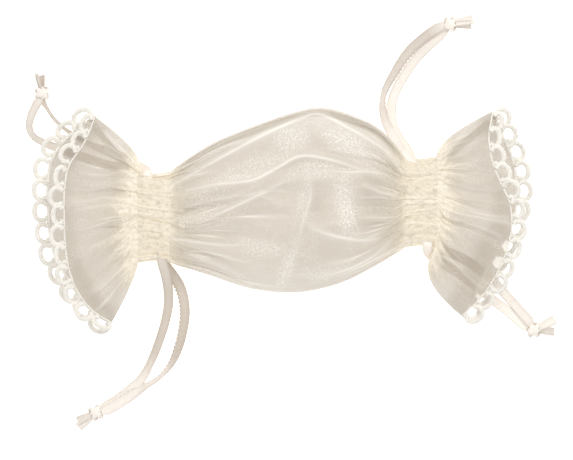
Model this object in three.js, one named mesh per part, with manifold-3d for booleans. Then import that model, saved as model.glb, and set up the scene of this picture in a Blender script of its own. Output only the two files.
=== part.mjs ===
// A sheer drawstring pouch with two mouths, lying on its back like a wrapped sweet.
// X runs from mouth to mouth, Y across the pouch, Z up; the origin is under its middle.
import * as THREE from 'three';
import { mergeVertices } from 'three/addons/utils/BufferGeometryUtils.js';
import Module from 'manifold-3d';

const wasm = await Module();
wasm.setup();

// Fabric and gaps (mm).
const wall = 0.8; // gathered fabric taken as one solid thickness
const clearance = 0.3; // between pieces that touch
const seamWidth = 2.6; // seam allowance folded inside
const seamThickness = 0.6;

// Necks and their casings.
const neckSpacing = 88.5; // between the middles of the two casings
const neckOffset = 1.75; // both necks stand this far toward +X
const neckWidth = 30;
const neckHeight = 10.7;
const floorGap = 1.35; // under the necks, where the ribbons pass
const channelGap = 1; // between the outer fabric and the inner strip
const laneGap = 1.4; // between the two ribbons in one casing
const laneMargin = 1.1; // past the ribbons, where the casing is stitched
const stitchWidth = 0.5;
const stitchHeight = 0.4;

// Belly between the necks.
const bellyWidth = 60.1;
const bellyHeight = 28.6;
const bellyMiddleZ = 12;
const bellyDrop = 15; // past the floor, so that the underside lies flat on it
const bodyRows = 14;

// Mouths and their looped trim.
const mouthOpening = 10; // between the front and the back layer
const layerStep = 5; // the front layer ends this much short of the back one
const loopCount = 12;
const loopWidth = 6.2;
const loopReach = 5.5; // from the fabric edge to the loop's crown
const loopCord = 1.5;
const headerWidth = 0.9;
const trimThickness = 1;

// Drawstring ribbon.
const ribbonWidth = 3.2;
const ribbonThickness = 0.5;
const knotLength = 5.2;
const knotWidth = 4.7;
const knotHeight = 3.6;
const cutEndThickness = 0.8;

const laneSpacing = ribbonWidth + laneGap;
const casingLength = 2 * (ribbonWidth + laneMargin) + laneGap; // along X
const neckZ = floorGap + neckHeight / 2;
const ribbonReach = neckHeight / 2 - wall - channelGap / 2; // from the neck's middle to the ribbon

const organza = { color: 0xe3dbd0, roughness: 0.5, metalness: 0 };
const gathered = { color: 0xf3ead6, roughness: 0.5, metalness: 0 };
const picot = { color: 0xf9f1e6, roughness: 0.6, metalness: 0 };
const satin = { color: 0xf6ebe2, roughness: 0.35, metalness: 0 };

// Each side's mouth, measured from the middle of its neck: how far out its two corners and
// its middle lie, and how far up and down the corners are.
const sides = [
	{
		name: 'left', out: -1, neckX: neckOffset - neckSpacing / 2, neckY: 1,
		upperCorner: [20, 33.5], lowerCorner: [14.5, -35.2], middle: [35.45, 2.5],
	},
	{
		name: 'right', out: 1, neckX: neckOffset + neckSpacing / 2, neckY: 6,
		upperCorner: [24.4, 30.4], lowerCorner: [14, -38], middle: [31.95, -2],
	},
];
const layers = [{ name: 'front', up: 1 }, { name: 'back', up: -1 }];

const pouch = new THREE.Group();

function addPiece(name, geometry, material) {
	const mesh = new THREE.Mesh(geometry, new THREE.MeshStandardMaterial(material));
	mesh.name = name;
	pouch.add(mesh);
}

function bare(geometry) {
	geometry.deleteAttribute('normal');
	geometry.deleteAttribute('uv');
	return mergeVertices(geometry, 1e-4);
}

function toSolid(geometry) {
	const merged = bare(geometry);
	return new wasm.Manifold(new wasm.Mesh({
		numProp: 3,
		vertProperties: new Float32Array(merged.attributes.position.array),
		triVerts: new Uint32Array(merged.index.array),
	}));
}

function toGeometry(solid) {
	const mesh = solid.getMesh();
	const geometry = new THREE.BufferGeometry();
	geometry.setAttribute('position', new THREE.BufferAttribute(mesh.vertProperties, 3));
	geometry.setIndex(new THREE.BufferAttribute(mesh.triVerts, 1));
	return geometry;
}

// A block of columns by rows whose corners go where place(u, v, w) puts them, each of the
// three running from 0 to 1. Its faces point out where u, v, w turn right-handed.
function bentBlock(columns, rows, place) {
	const geometry = new THREE.BoxGeometry(1, 1, 1, columns, rows, 1);
	const corners = geometry.attributes.position;
	for (let i = 0; i < corners.count; i += 1) {
		const spot = place(corners.getX(i) + 0.5, corners.getY(i) + 0.5, corners.getZ(i) + 0.5);
		corners.setXYZ(i, spot.x, spot.y, spot.z);
	}
	return bare(geometry);
}

// Half sections of the tube, from its -Y edge (v = 0) over the top to its +Y edge (v = 1).
const roundShare = 2 / 7; // of the rows, on each round end of a neck

function flatSection(v, halfWidth, halfHeight) {
	const side = v < 0.5 ? -1 : 1;
	const fromEdge = Math.min(v, 1 - v);
	const straight = halfWidth - halfHeight;
	if (fromEdge >= roundShare) {
		return { y: side * straight * (0.5 - fromEdge) / (0.5 - roundShare), z: halfHeight };
	}
	const turn = (fromEdge / roundShare) * Math.PI / 2;
	return { y: side * (straight + halfHeight * Math.cos(turn)), z: halfHeight * Math.sin(turn) };
}

function roundSection(v, halfWidth, halfHeight) {
	return { y: -halfWidth * Math.cos(Math.PI * v), z: halfHeight * Math.sin(Math.PI * v) };
}

// Belly: how full it is and how far it sways toward +Y, from the left neck to the right one.
const stations = [0, 0.17, 0.34, 0.51, 0.63, 0.75, 0.88, 1];
const fullness = new THREE.CubicInterpolant(stations, [0, 0.43, 0.765, 0.97, 1, 0.84, 0.51, 0], 1);
const sway = new THREE.CubicInterpolant(stations, [0, 1.5, 1.35, 2.15, 3.1, 3, 2.65, 0], 1);

const bodyStart = sides[0].neckX + casingLength / 2;
const bodyEnd = sides[1].neckX - casingLength / 2;

function bodyAt(x) {
	const s = THREE.MathUtils.clamp((x - bodyStart) / (bodyEnd - bodyStart), 0, 1);
	const full = Math.max(fullness.evaluate(s)[0], 0);
	const mix = (neck, belly) => THREE.MathUtils.lerp(neck, belly, full);
	return {
		middleY: THREE.MathUtils.lerp(sides[0].neckY, sides[1].neckY, s) + sway.evaluate(s)[0],
		middleZ: mix(neckZ, bellyMiddleZ),
		halfWidth: mix(neckWidth, bellyWidth) / 2,
		rise: mix(neckHeight / 2, bellyHeight - bellyMiddleZ),
		drop: mix(neckHeight / 2, bellyDrop),
		roundness: Math.min(1, full * 2.5),
	};
}

function bodyPoint(x, v, depth, up) {
	const body = bodyAt(x);
	const halfHeight = (up > 0 ? body.rise : body.drop) - depth;
	const flat = flatSection(v, body.halfWidth - depth, halfHeight);
	const round = roundSection(v, body.halfWidth - depth, halfHeight);
	const height = THREE.MathUtils.lerp(flat.z, round.z, body.roundness) + clearance / 2;
	return {
		x,
		y: body.middleY + THREE.MathUtils.lerp(flat.y, round.y, body.roundness),
		z: Math.max(body.middleZ + up * height, depth),
	};
}

// Each casing has two lanes. A lower ribbon leaves it toward -Y and an upper one toward +Y;
// the lower one's lane is the nearer to +X.
const drawstrings = [
	{ name: 'left_lower', side: sides[0], lane: sides[0].neckX + laneSpacing / 2, exit: -1 },
	{ name: 'left_upper', side: sides[0], lane: sides[0].neckX - laneSpacing / 2, exit: 1 },
	{ name: 'right_upper', side: sides[1], lane: sides[1].neckX - laneSpacing / 2, exit: 1 },
	{ name: 'right_lower', side: sides[1], lane: sides[1].neckX + laneSpacing / 2, exit: -1 },
];

function exitSlot(string) {
	const straight = (neckWidth - neckHeight) / 2;
	const inner = straight + clearance;
	const outer = neckWidth / 2 + 1;
	const slot = new THREE.BoxGeometry(ribbonWidth + 2 * clearance, outer - inner, neckHeight + 2);
	slot.translate(string.lane, string.side.neckY + string.exit * (inner + outer) / 2, neckZ);
	return toSolid(slot);
}

const bodyColumns = 24;
const chamberEnds = { start: bodyStart - casingLength, end: bodyEnd + casingLength };

function chamberX(u) {
	const column = Math.round(u * bodyColumns);
	if (column === 0) return chamberEnds.start;
	if (column === bodyColumns) return chamberEnds.end;
	return THREE.MathUtils.lerp(bodyStart, bodyEnd, (column - 1) / (bodyColumns - 2));
}

for (const layer of layers) {
	let panel = toSolid(bentBlock(bodyColumns, bodyRows, (u, v, w) => bodyPoint(
		chamberX(u), layer.up > 0 ? v : 1 - v, wall * (1 - w), layer.up,
	)));
	for (const string of drawstrings) panel = panel.subtract(exitSlot(string));
	addPiece(`chamber_${layer.name}`, toGeometry(panel), organza);
}

// The seam allowance lies flat inside the +Y edge, where both layers are sewn together.
addPiece('chamber_seam', bentBlock(20, 1, (u, v, w) => {
	const x = THREE.MathUtils.lerp(bodyStart + 1, bodyEnd - 1, u);
	const body = bodyAt(x);
	const inset = wall + clearance + seamWidth * (1 - v);
	return {
		x,
		y: body.middleY + body.halfWidth - inset,
		z: body.middleZ + seamThickness * (w - 0.5),
	};
}), gathered);

// Necks: an inner strip forms the channel, and a row of stitches closes each end of it.
function neckRing(halfWidth, halfHeight, thickness, length, x, side) {
	const outline = (curve, inset) => {
		const radius = halfHeight - inset;
		const straight = halfWidth - halfHeight;
		curve.absarc(0, straight, radius, 0, Math.PI, false);
		curve.absarc(0, -straight, radius, Math.PI, 2 * Math.PI, false);
		curve.closePath();
		return curve;
	};
	const shape = outline(new THREE.Shape(), 0);
	shape.holes.push(outline(new THREE.Path(), thickness));
	const geometry = new THREE.ExtrudeGeometry(shape, {
		depth: length, bevelEnabled: false, curveSegments: 5,
	});
	geometry.rotateY(Math.PI / 2);
	geometry.translate(x - length / 2, side.neckY, neckZ);
	return bare(geometry);
}

for (const side of sides) {
	const inset = wall + channelGap;
	addPiece(`${side.name}_casing_strip`, neckRing(
		neckWidth / 2 - inset, neckHeight / 2 - inset, wall, casingLength, side.neckX, side,
	), gathered);
	const threadInset = wall + (channelGap - stitchHeight) / 2;
	for (const [row, toward] of [['outer', side.out], ['inner', -side.out]]) {
		const x = side.neckX + toward * (casingLength - stitchWidth) / 2;
		addPiece(`${side.name}_${row}_stitch_row`, neckRing(
			neckWidth / 2 - threadInset, neckHeight / 2 - threadInset,
			stitchHeight, stitchWidth, x, side,
		), picot);
	}
}

// Flares: each layer fans out from its neck to an arc through the mouth's corners and middle.
function mouthArc(side, layer) {
	const corner = ([reach, rise]) => new THREE.Vector2(
		side.neckX + side.out * reach, side.neckY + rise,
	);
	const lower = corner(side.lowerCorner);
	const upper = corner(side.upperCorner);
	const step = layer.up > 0 ? layerStep : 0;
	const middle = corner([side.middle[0] - step, side.middle[1]]);
	const a = upper.clone().sub(lower);
	const b = middle.clone().sub(lower);
	const twiceArea = 2 * a.cross(b);
	const centre = new THREE.Vector2(
		lower.x + (b.y * a.lengthSq() - a.y * b.lengthSq()) / twiceArea,
		lower.y + (a.x * b.lengthSq() - b.x * a.lengthSq()) / twiceArea,
	);
	const outward = side.out > 0 ? 0 : Math.PI;
	const angle = (spot) => {
		const plain = Math.atan2(spot.y - centre.y, side.out * (spot.x - centre.x));
		return outward + side.out * plain;
	};
	return {
		centre,
		radius: lower.distanceTo(centre),
		at(share) {
			const turn = THREE.MathUtils.lerp(angle(lower), angle(upper), (share + 1) / 2);
			return new THREE.Vector2(Math.cos(turn), Math.sin(turn))
				.multiplyScalar(this.radius).add(centre);
		},
	};
}

const flareStart = (side) => side.neckX + side.out * (casingLength / 2 + clearance);
const mouthHalf = (side) => (side.upperCorner[1] - side.lowerCorner[1]) / 2;

// u runs from the neck to the mouth, v across as on the body, depth inward from the outside.
function flarePoint(side, layer, arc, u, v, depth) {
	const neck = flatSection(v, neckWidth / 2 - depth, neckHeight / 2 - depth);
	const mouth = roundSection(v, 1 - depth / mouthHalf(side), mouthOpening / 2 - depth);
	const edge = arc.at(mouth.y);
	const height = THREE.MathUtils.lerp(neck.z, mouth.z, u) + clearance / 2;
	return new THREE.Vector3(
		THREE.MathUtils.lerp(flareStart(side), edge.x, u),
		THREE.MathUtils.lerp(side.neckY + neck.y, edge.y, u),
		neckZ + layer.up * height,
	);
}

// Trim: one loop of cord on a short header, repeated round the mouth's edge.
function loopCell(headerLength) {
	const half = loopWidth / 2;
	const bottom = clearance;
	const top = bottom + headerWidth;
	const crown = loopReach + clearance - half;
	const shape = new THREE.Shape();
	shape.moveTo(-headerLength / 2, bottom);
	shape.lineTo(headerLength / 2, bottom);
	shape.lineTo(headerLength / 2, top);
	shape.lineTo(half, top);
	shape.absarc(0, crown, half, 0, Math.PI, false);
	shape.lineTo(-half, top);
	shape.lineTo(-headerLength / 2, top);
	shape.closePath();
	const hole = new THREE.Path();
	hole.moveTo(loopCord - half, top + headerWidth / 4);
	hole.lineTo(half - loopCord, top + headerWidth / 4);
	hole.absarc(0, crown, half - loopCord, 0, Math.PI, false);
	hole.closePath();
	shape.holes.push(hole);
	const geometry = new THREE.ExtrudeGeometry(shape, {
		depth: trimThickness, bevelEnabled: false, curveSegments: 3,
	});
	return geometry.translate(0, 0, -trimThickness / 2);
}

function trim(side, layer, arc) {
	const rim = [];
	for (let v = 0.07; v < 0.931; v += 0.02) {
		rim.push(flarePoint(side, layer, arc, 1, v, wall / 2));
	}
	const edge = new THREE.CatmullRomCurve3(rim);
	const pitch = edge.getLength() / loopCount;
	const cells = [];
	for (let i = 0; i < loopCount; i += 1) {
		const share = (i + 0.5) / loopCount;
		const spot = edge.getPointAt(share);
		const along = edge.getTangentAt(share);
		const outward = new THREE.Vector3(spot.x - arc.centre.x, spot.y - arc.centre.y, 0);
		outward.addScaledVector(along, -outward.dot(along)).normalize();
		const facing = new THREE.Vector3().crossVectors(along, outward);
		const place = new THREE.Matrix4().makeBasis(along, outward, facing).setPosition(spot);
		cells.push(toSolid(loopCell(pitch + headerWidth / 2).applyMatrix4(place)));
	}
	return toGeometry(wasm.Manifold.union(cells));
}

for (const side of sides) {
	for (const layer of layers) {
		const arc = mouthArc(side, layer);
		const panel = bentBlock(7, bodyRows, (u, v, w) => flarePoint(
			side, layer, arc, side.out > 0 ? u : 1 - u, layer.up > 0 ? v : 1 - v, wall * (1 - w),
		));
		addPiece(`${side.name}_flare_${layer.name}`, panel, organza);
		addPiece(`${side.name}_trim_${layer.name}`, trim(side, layer, arc), picot);
	}
	const arc = mouthArc(side, layers[1]);
	addPiece(`${side.name}_flare_seam`, bentBlock(5, 1, (u, v, w) => {
		const out = THREE.MathUtils.lerp(0.06, 0.94, side.out > 0 ? u : 1 - u);
		const reach = THREE.MathUtils.lerp(neckWidth / 2, mouthHalf(side), out);
		const share = 1 - (wall + clearance + seamWidth * (1 - v)) / reach;
		const edge = arc.at(share);
		return {
			x: THREE.MathUtils.lerp(flareStart(side), edge.x, out),
			y: THREE.MathUtils.lerp(side.neckY + share * neckWidth / 2, edge.y, out),
			z: neckZ + seamThickness * (w - 0.5),
		};
	}), gathered);
}

// Drawstrings. The part of each ribbon that stays in the channel wraps the neck's far end.
const loopEnd = 7.5; // from the neck's middle toward the far end, where the tails begin

function channelLoop(string) {
	const far = (neckWidth - neckHeight) / 2;
	const outer = ribbonReach + ribbonThickness / 2;
	const inner = ribbonReach - ribbonThickness / 2;
	const shape = new THREE.Shape();
	shape.moveTo(outer, loopEnd + clearance);
	shape.absarc(0, far, outer, 0, Math.PI, false);
	shape.lineTo(-outer, loopEnd + clearance);
	shape.lineTo(-inner, loopEnd + clearance);
	shape.absarc(0, far, inner, Math.PI, 0, true);
	shape.lineTo(inner, loopEnd + clearance);
	shape.closePath();
	const geometry = new THREE.ExtrudeGeometry(shape, {
		depth: ribbonWidth, bevelEnabled: false, curveSegments: 4,
	});
	geometry.translate(0, 0, -ribbonWidth / 2);
	if (string.exit > 0) geometry.rotateZ(Math.PI);
	geometry.rotateY(Math.PI / 2);
	geometry.translate(string.lane, string.side.neckY, neckZ);
	return bare(geometry);
}

// A ribbon's route keeps its width level, whichever way it turns.
class RibbonRoute extends THREE.CatmullRomCurve3 {
	computeFrenetFrames(steps) {
		const tangents = [];
		const normals = [];
		const binormals = [];
		const up = new THREE.Vector3(0, 0, 1);
		for (let i = 0; i <= steps; i += 1) {
			const tangent = this.getTangentAt(i / steps);
			const normal = new THREE.Vector3().crossVectors(tangent, up).normalize();
			tangents.push(tangent);
			normals.push(normal);
			binormals.push(new THREE.Vector3().crossVectors(tangent, normal));
		}
		return { tangents, normals, binormals };
	}
}

function ribbonSection() {
	const half = ribbonWidth / 2;
	const thick = ribbonThickness / 2;
	const chamfer = thick / 2;
	const shape = new THREE.Shape();
	shape.moveTo(-half + chamfer, -thick);
	shape.lineTo(half - chamfer, -thick);
	shape.lineTo(half, -chamfer);
	shape.lineTo(half, chamfer);
	shape.lineTo(half - chamfer, thick);
	shape.lineTo(-half + chamfer, thick);
	shape.lineTo(-half, chamfer);
	shape.lineTo(-half, -chamfer);
	shape.closePath();
	return shape;
}

function fromLane({ lane, side }, [x, y, z]) {
	return [lane + x, side.neckY + y, z];
}

function tail(string, level, outside) {
	const { lane, exit, side } = string;
	const inside = [-loopEnd, -1, 5.5, 12].map((reach) => [
		lane, side.neckY + exit * reach, neckZ + level * ribbonReach,
	]);
	const placed = outside.map((spot) => fromLane(string, spot));
	const points = [...inside, ...placed].map((spot) => new THREE.Vector3(...spot));
	const route = new RibbonRoute(points, false, 'centripetal');
	const steps = Math.round(route.getLength() / ribbonWidth);
	return bare(new THREE.ExtrudeGeometry(ribbonSection(), { extrudePath: route, steps }));
}

function knot([x, y, z], heading) {
	const geometry = new THREE.SphereGeometry(0.5, 10, 7);
	geometry.scale(knotLength, knotWidth, knotHeight);
	geometry.rotateZ(heading);
	return bare(geometry.translate(x, y, z));
}

function cutEnds([x, y, z], heading, length) {
	const start = knotLength / 2 + clearance;
	const shape = new THREE.Shape();
	shape.moveTo(start, -0.35 * ribbonWidth);
	shape.lineTo(start + length, -0.65 * ribbonWidth);
	shape.lineTo(start + 0.8 * length, 0.65 * ribbonWidth);
	shape.lineTo(start, 0.35 * ribbonWidth);
	shape.closePath();
	const geometry = new THREE.ExtrudeGeometry(shape, {
		depth: cutEndThickness, bevelEnabled: false,
	});
	geometry.translate(0, 0, -cutEndThickness / 2);
	geometry.rotateZ(heading);
	return bare(geometry.translate(x, y, z));
}

// Where each tail goes once it has left the casing: one from the channel over the neck, one
// from the channel under it, both down to the floor and on to the knot. X and Y are measured
// from the middle of the ribbon's lane.
const routes = {
	left_lower: {
		over: [
			[0.2, -15, 10.3], [1, -18.2, 8.4], [1.7, -21.6, 5.4], [2.1, -25.4, 2.6],
			[2, -29.6, 1], [1.1, -34.4, 0.45], [-0.9, -41, 0.4], [-3.4, -47.4, 0.4],
			[-7, -54.1, 0.4], [-11.6, -58.4, 0.4], [-16.2, -61.8, 0.6], [-19.7, -63.8, 1.1],
		],
		under: [
			[0.9, -15.6, 2.5], [3.4, -19.2, 1.9], [5.8, -23, 1], [7.2, -27.4, 0.45],
			[7.7, -32, 0.4], [7.1, -37.6, 0.4], [5.6, -43.6, 0.4], [3, -49.4, 0.4],
			[-1, -53.8, 0.6], [-5.6, -56.8, 1.25], [-10.4, -59.8, 1.35],
			[-15.3, -62.9, 1.75], [-19.3, -64.9, 2.3],
		],
		knot: [-22.2, -65.5, 1.9], heading: -2.6, endLength: 3.4,
	},
	left_upper: {
		over: [
			[0, 15.4, 10.3], [-0.5, 17.2, 7.8], [-2, 18.6, 4.6], [-4.6, 19.6, 2],
			[-8.2, 20.6, 0.7], [-12.6, 21.8, 0.42], [-17.2, 23.4, 0.4], [-21.6, 25.4, 0.4],
			[-25.4, 27.8, 0.4], [-28.8, 30.3, 0.4], [-32.1, 33.6, 0.45], [-34.4, 37.3, 0.9],
			[-35.1, 38.6, 1.1],
		],
		under: [
			[-0.3, 14, 2.4], [-2, 15.4, 1.4], [-5, 15.9, 0.5], [-9.2, 16.4, 0.4],
			[-14, 17.5, 0.4], [-18.8, 19, 0.4], [-23.8, 20.8, 0.4], [-29.2, 22.8, 0.4],
			[-34.6, 24.8, 0.4], [-38.5, 27.1, 0.4], [-39.9, 30.2, 0.5], [-39.2, 34, 0.9],
			[-37.5, 37.6, 1.9], [-36.7, 38.7, 2.2],
		],
		knot: [-35.6, 41.5, 1.9], heading: 1.75, endLength: 4.4,
	},
	right_upper: {
		over: [
			[-0.3, 15.2, 10.2], [-1.3, 18.4, 8], [-3.2, 21.5, 5], [-5.9, 24.3, 2.6],
			[-8.5, 27, 1.5], [-9.9, 30.4, 1.2], [-10, 34.8, 1.2], [-8.7, 38.7, 1.2],
			[-6.5, 42.6, 1.2], [-4, 46.8, 1.2], [-0.8, 51, 1.2], [3.1, 54.6, 1.25],
			[6.9, 57.4, 1.6], [9.5, 58.9, 2.2],
		],
		under: [
			[-0.5, 14.8, 2.3], [-2, 17.8, 1.3], [-4.1, 20.8, 0.6], [-6, 24.2, 0.42],
			[-6.9, 28.4, 0.4], [-6.9, 33.2, 0.4], [-5.6, 37.4, 0.4], [-3.3, 41.6, 0.4],
			[-0.8, 45.4, 0.4], [2.1, 49.2, 0.4], [5.8, 52.8, 0.4], [8.9, 55.6, 0.6],
			[10.4, 57.2, 1.1],
		],
		knot: [12.4, 59.5, 1.9], heading: 0.1, endLength: 5.6,
	},
	right_lower: {
		over: [
			[0, -14.6, 10.3], [0.3, -16.4, 7.8], [1.6, -18, 4.6], [3.9, -19.6, 2],
			[6.9, -21.4, 0.7], [10.7, -23.8, 0.42], [14.7, -26.6, 0.4], [18.5, -29.6, 0.4],
			[22.3, -32.8, 0.4], [26.3, -35.8, 0.4], [30.3, -39.2, 0.5], [33.3, -41.6, 1],
		],
		under: [
			[0.3, -13.4, 2.3], [2.1, -14.9, 1.2], [5.3, -16, 0.5], [9.5, -17.6, 0.4],
			[13.7, -19.8, 0.4], [17.9, -22.8, 0.4], [21.9, -26.2, 0.4], [25.7, -30, 0.5],
			[29.3, -34, 1], [32.1, -37.2, 1.4], [34.5, -40, 2.1],
		],
		knot: [35.9, -42.8, 1.9], heading: 0.15, endLength: 5.4,
	},
};

for (const string of drawstrings) {
	const route = routes[string.name];
	const knotPlace = fromLane(string, route.knot);
	addPiece(`${string.name}_channel_loop`, channelLoop(string), satin);
	addPiece(`${string.name}_over_tail`, tail(string, 1, route.over), satin);
	addPiece(`${string.name}_under_tail`, tail(string, -1, route.under), satin);
	addPiece(`${string.name}_knot`, knot(knotPlace, route.heading), satin);
	const ends = cutEnds(knotPlace, route.heading, route.endLength);
	addPiece(`${string.name}_cut_ends`, ends, satin);
}

export default pouch;
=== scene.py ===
# Sheer organza pouch with two gathered necks, satin ribbon drawstrings and looped trim.
# Metres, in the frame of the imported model: X from mouth to mouth, Z up.
import bpy
import bmesh
import math
import numpy as np
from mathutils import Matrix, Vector


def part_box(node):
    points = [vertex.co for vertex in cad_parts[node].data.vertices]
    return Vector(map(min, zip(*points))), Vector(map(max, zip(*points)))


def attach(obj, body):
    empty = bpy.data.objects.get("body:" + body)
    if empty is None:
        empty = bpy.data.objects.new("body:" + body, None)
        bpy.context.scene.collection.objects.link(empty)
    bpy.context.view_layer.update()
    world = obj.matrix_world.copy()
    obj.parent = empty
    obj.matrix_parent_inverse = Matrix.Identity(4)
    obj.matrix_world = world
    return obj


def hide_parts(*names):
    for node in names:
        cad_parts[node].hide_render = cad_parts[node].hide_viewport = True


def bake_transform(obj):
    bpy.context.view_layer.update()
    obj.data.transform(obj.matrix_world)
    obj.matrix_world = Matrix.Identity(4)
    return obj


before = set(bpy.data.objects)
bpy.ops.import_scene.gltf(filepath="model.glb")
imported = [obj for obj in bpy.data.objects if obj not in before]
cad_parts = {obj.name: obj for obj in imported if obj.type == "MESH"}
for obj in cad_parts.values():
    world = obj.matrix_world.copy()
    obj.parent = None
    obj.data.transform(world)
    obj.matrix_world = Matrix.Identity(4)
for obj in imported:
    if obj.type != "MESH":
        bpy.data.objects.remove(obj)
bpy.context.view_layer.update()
mm = 0.001
scene = bpy.context.scene
scene.view_settings.view_transform = "Standard"

# Camera straight above, with a long lens, and soft light from above
view = {"width": 0.1911, "aim": (0.00142, -0.00333), "height": 1.5, "sensor": 36.0}

cameraData = bpy.data.cameras.new("camera")
cameraData.sensor_width = view["sensor"]
cameraData.lens = view["sensor"] * (view["height"] - 0.008) / view["width"]
camera = bpy.data.objects.new("camera", cameraData)
scene.collection.objects.link(camera)
camera.location = (*view["aim"], view["height"])
scene.camera = camera


# Place, size, power and tint of each light; all aim at the middle of the table
lights = {
    "key": ((0.35, 0.55, 0.95), 0.55, 5.8, (1.0, 0.985, 0.96)),
    "fill": ((-0.7, 0.2, 0.9), 0.9, 2.8, (1.0, 0.99, 0.98)),
    "side": ((-0.1, -0.9, 0.5), 0.6, 1.6, (1.0, 0.98, 0.95)),
}
for name, (place, size, power, tint) in lights.items():
    data = bpy.data.lights.new(name, "AREA")
    data.size, data.energy, data.color = size, power, tint
    lamp = bpy.data.objects.new(name, data)
    scene.collection.objects.link(lamp)
    lamp.location = place
    lamp.rotation_mode = "QUATERNION"
    lamp.rotation_quaternion = (-Vector(place)).to_track_quat("-Z", "Y")
world = bpy.data.worlds.new("studio")
world.use_nodes = True
world.node_tree.nodes["Background"].inputs["Color"].default_value = (1.0, 0.995, 0.985, 1)
world.node_tree.nodes["Background"].inputs["Strength"].default_value = 0.50
scene.world = world


# Node helpers
def newMaterial(name):
    material = bpy.data.materials.new(name)
    material.use_nodes = True
    return material, material.node_tree, material.node_tree.nodes["Principled BSDF"]


def addNode(tree, kind, **settings):
    node = tree.nodes.new(kind)
    for key, value in settings.items():
        setattr(node, key, value)
    return node


def feed(tree, target, source):
    if hasattr(source, "is_output"):
        tree.links.new(source, target)
    else:
        target.default_value = source


def setInputs(node, values):
    for key, value in values.items():
        node.inputs[key].default_value = value


def mathNode(tree, operation, a, b=0.0, clamp=False):
    node = addNode(tree, "ShaderNodeMath", operation=operation, use_clamp=clamp)
    feed(tree, node.inputs[0], a)
    feed(tree, node.inputs[1], b)
    return node.outputs[0]


def mixColour(tree, factor, a, b):
    node = addNode(tree, "ShaderNodeMix", data_type="RGBA")
    feed(tree, node.inputs[0], factor)
    feed(tree, node.inputs[6], a)
    feed(tree, node.inputs[7], b)
    return node.outputs[2]


def attributeValue(tree, name):
    return addNode(tree, "ShaderNodeAttribute", attribute_name=name).outputs["Fac"]


def noiseValue(tree, vector, scale, detail):
    node = addNode(tree, "ShaderNodeTexNoise")
    feed(tree, node.inputs["Vector"], vector)
    setInputs(node, {"Scale": scale, "Detail": detail})
    return node.outputs["Fac"]


def newGroup(name, inputs, outputs):
    group = bpy.data.node_groups.new(name, "ShaderNodeTree")
    face = group.interface
    face.new_socket("Vector", in_out="INPUT", socket_type="NodeSocketVector")
    for key, value in inputs:
        face.new_socket(key, in_out="INPUT", socket_type="NodeSocketFloat").default_value = value
    for key in outputs:
        face.new_socket(key, in_out="OUTPUT", socket_type="NodeSocketFloat")
    return group, addNode(group, "NodeGroupInput"), addNode(group, "NodeGroupOutput")


# Two sets of threads across each other, uneven in places
def makeThreads():
    inputs = (("Along", 1.0), ("Across", 1.0), ("Uneven", 0.3))
    group, start, end = newGroup("threads", inputs, ("Mask", "Height"))
    parts = addNode(group, "ShaderNodeSeparateXYZ")
    feed(group, parts.inputs[0], start.outputs["Vector"])
    waves = []
    for axis, pitch in ((0, "Along"), (1, "Across")):
        turns = mathNode(group, "DIVIDE", parts.outputs[axis], start.outputs[pitch])
        wave = mathNode(group, "SINE", mathNode(group, "MULTIPLY", turns, 2 * math.pi))
        waves.append(mathNode(group, "MULTIPLY_ADD", wave, 0.5))
        waves[-1].node.inputs[2].default_value = 0.5
    crossed = mathNode(group, "MAXIMUM", *waves)
    both = mathNode(group, "MULTIPLY", *waves)
    patch = mathNode(group, "SUBTRACT", noiseValue(group, start.outputs["Vector"], 0.35, 3.0), 0.5)
    patch = mathNode(group, "MULTIPLY", patch, start.outputs["Uneven"])
    mask = mathNode(group, "ADD", mathNode(group, "POWER", crossed, 2.0), patch, clamp=True)
    feed(group, end.inputs["Mask"], mask)
    feed(group, end.inputs["Height"], mathNode(group, "ADD", crossed, both))
    return group


threads = makeThreads()


# Short strokes of painted light on two sets of slanting threads, as thin cloth shows where it shines
def makeHatch():
    group, start, end = newGroup("hatch", (), ("Mask",))
    strokes = []
    for turn in (0.5, -0.75):
        turned = addNode(group, "ShaderNodeVectorRotate", rotation_type="Z_AXIS")
        feed(group, turned.inputs["Vector"], start.outputs["Vector"])
        turned.inputs["Angle"].default_value = turn
        drawn = addNode(group, "ShaderNodeVectorMath", operation="MULTIPLY")
        feed(group, drawn.inputs[0], turned.outputs[0])
        drawn.inputs[1].default_value = (2.6, 0.9, 1.0)
        stroke = mathNode(group, "SUBTRACT", noiseValue(group, drawn.outputs[0], 1.0, 1.0), 0.5)
        strokes.append(mathNode(group, "MULTIPLY", stroke, 5.0, clamp=True))
    feed(group, end.inputs["Mask"], mathNode(group, "MAXIMUM", *strokes))
    return group


hatch = makeHatch()


def clothCoordinates(tree):
    uv = addNode(tree, "ShaderNodeUVMap", uv_map="cloth")
    scaled = addNode(tree, "ShaderNodeVectorMath", operation="SCALE")
    feed(tree, scaled.inputs[0], uv.outputs[0])
    scaled.inputs["Scale"].default_value = 1000.0  # the map is in metres, patterns in mm
    return scaled.outputs[0]


def placeThreads(tree, along, across, uneven):
    node = addNode(tree, "ShaderNodeGroup", node_tree=threads)
    feed(tree, node.inputs["Vector"], clothCoordinates(tree))
    setInputs(node, {"Along": along, "Across": across, "Uneven": uneven})
    return node


def addBump(tree, shader, weave, strength, distance):
    bump = addNode(tree, "ShaderNodeBump")
    setInputs(bump, {"Strength": strength, "Distance": distance * mm})
    feed(tree, bump.inputs["Height"], weave.outputs["Height"])
    feed(tree, shader.inputs["Normal"], bump.outputs[0])


# Roughness falls where the threads stand up
def roughWeave(tree, shader, weave, rough, fall):
    value = mathNode(tree, "SUBTRACT", rough, mathNode(tree, "MULTIPLY", weave.outputs["Mask"], fall))
    feed(tree, shader.inputs["Roughness"], value)


# Organza colours: thin cloth, gathered cloth, a painted highlight and a painted shade, which on the flares
# is also a darker tone. The covers make the cloth more opaque with its threads, the painted shine, the
# painted shade and the gathering.
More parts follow.
